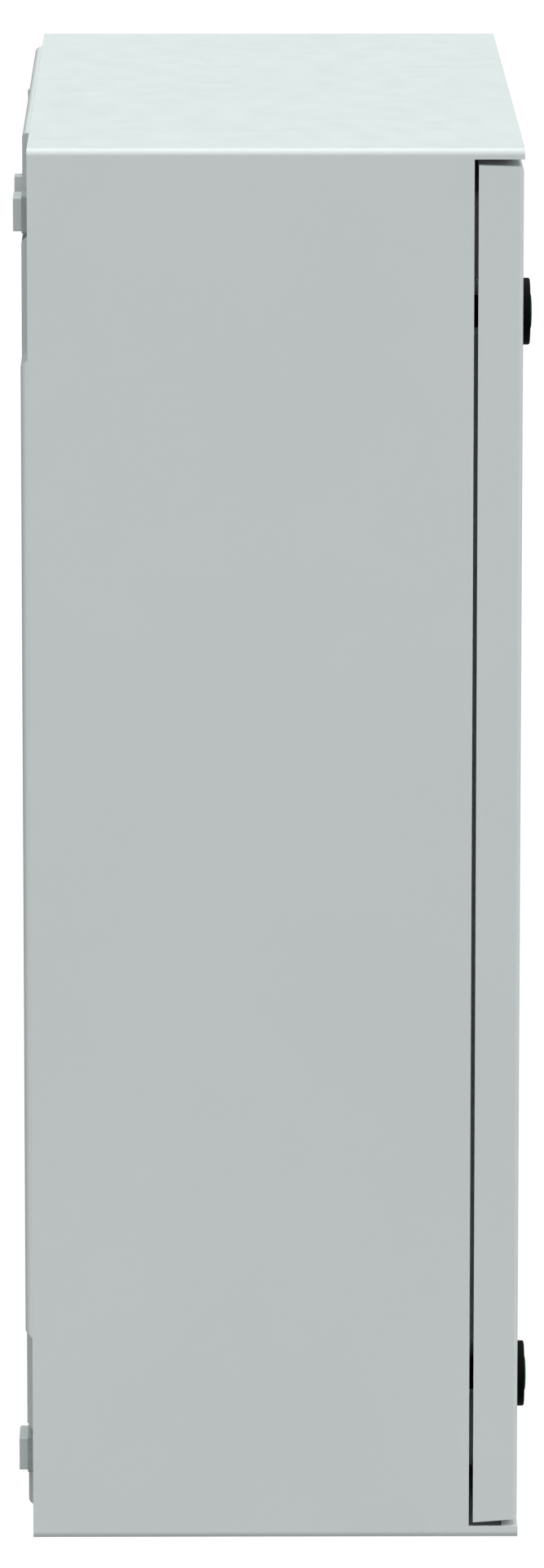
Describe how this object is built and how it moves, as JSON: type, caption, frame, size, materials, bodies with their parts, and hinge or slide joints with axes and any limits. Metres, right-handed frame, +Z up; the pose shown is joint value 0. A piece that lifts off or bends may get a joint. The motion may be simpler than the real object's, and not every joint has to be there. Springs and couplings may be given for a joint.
{
  "type": "steel wall enclosure",
  "caption": "Wall-mounted sheet steel cabinet with a hinged door, quarter-turn locks, rain gutter and seal, inner mounting plate and cable entry plate.",
  "frame": {"origin": "centre of the four wall fixing holes, in the wall plane behind the enclosure", "axes": "+Z up, +Y into the wall, the door faces -Y and its hinges are on the +X side"},
  "size_m": [0.5, 0.2542, 0.7],
  "materials": {
    "body_paint": "textured light grey powder coat",
    "galvanised_sheet": "hot-dip galvanised sheet with a fine spangle",
    "zinc_plated_steel": "bright zinc plating",
    "fastener_steel": "plain plated steel",
    "foam_seal": "foamed-in-place soft black polyurethane",
    "grey_rubber": "light grey sealing rubber",
    "lock_black": "matt black glass-filled nylon",
    "lock_green": "very dark green moulded insert"
  },
  "bodies": {
    "enclosure": {"body_wrapper": "body_paint", "rear_panel": "body_paint", "front_channel": "body_paint", "wall_pads": "body_paint", "wall_pad_seals": "grey_rubber", "mounting_plate": "galvanised_sheet", "mounting_plate_studs": "fastener_steel", "mounting_plate_spacers": "zinc_plated_steel", "mounting_plate_washers": "zinc_plated_steel", "mounting_plate_nuts": "zinc_plated_steel", "gland_plate": "body_paint", "gland_plate_gasket": "foam_seal", "gland_plate_screws": "fastener_steel", "hinge_bracket_upper": "zinc_plated_steel", "hinge_bracket_lower": "zinc_plated_steel", "hinge_pin_upper": "fastener_steel", "hinge_pin_lower": "fastener_steel", "hinge_bracket_screws": "fastener_steel", "latch_keeper_upper": "zinc_plated_steel", "latch_keeper_lower": "zinc_plated_steel", "body_earth_stud": "fastener_steel", "body_earth_nut": "zinc_plated_steel"},
    "door": {"door_panel": "body_paint", "door_gasket": "foam_seal", "door_rail_left": "zinc_plated_steel", "door_rail_right": "zinc_plated_steel", "door_rail_studs": "fastener_steel", "door_rail_nuts": "zinc_plated_steel", "hinge_leaf_upper": "zinc_plated_steel", "hinge_leaf_lower": "zinc_plated_steel", "hinge_leaf_studs": "fastener_steel", "hinge_leaf_nuts": "zinc_plated_steel", "lock_housing_upper": "lock_black", "lock_housing_lower": "lock_black", "lock_nuts": "zinc_plated_steel", "lock_seals": "foam_seal", "door_earth_stud": "fastener_steel", "door_earth_nut": "zinc_plated_steel"},
    "lock_upper": {"lock_insert_upper": "lock_green", "lock_cam_upper": "zinc_plated_steel", "lock_cam_screw_upper": "fastener_steel"},
    "lock_lower": {"lock_insert_lower": "lock_green", "lock_cam_lower": "zinc_plated_steel", "lock_cam_screw_lower": "fastener_steel"}
  },
  "joints": [
    {"name": "door_hinge", "type": "hinge", "parent": "enclosure", "child": "door", "pos_m": [0.242, -0.24, 0], "axis": [0, 0, 1], "range_deg": [0, 120]},
    {"name": "lock_upper_turn", "type": "hinge", "parent": "door", "child": "lock_upper", "pos_m": [-0.2305, -0.2495, 0.2675], "axis": [0, 1, 0], "range_deg": [0, 90]},
    {"name": "lock_lower_turn", "type": "hinge", "parent": "door", "child": "lock_lower", "pos_m": [-0.2305, -0.2495, -0.2699], "axis": [0, -1, 0], "range_deg": [0, 90]}
  ]
}
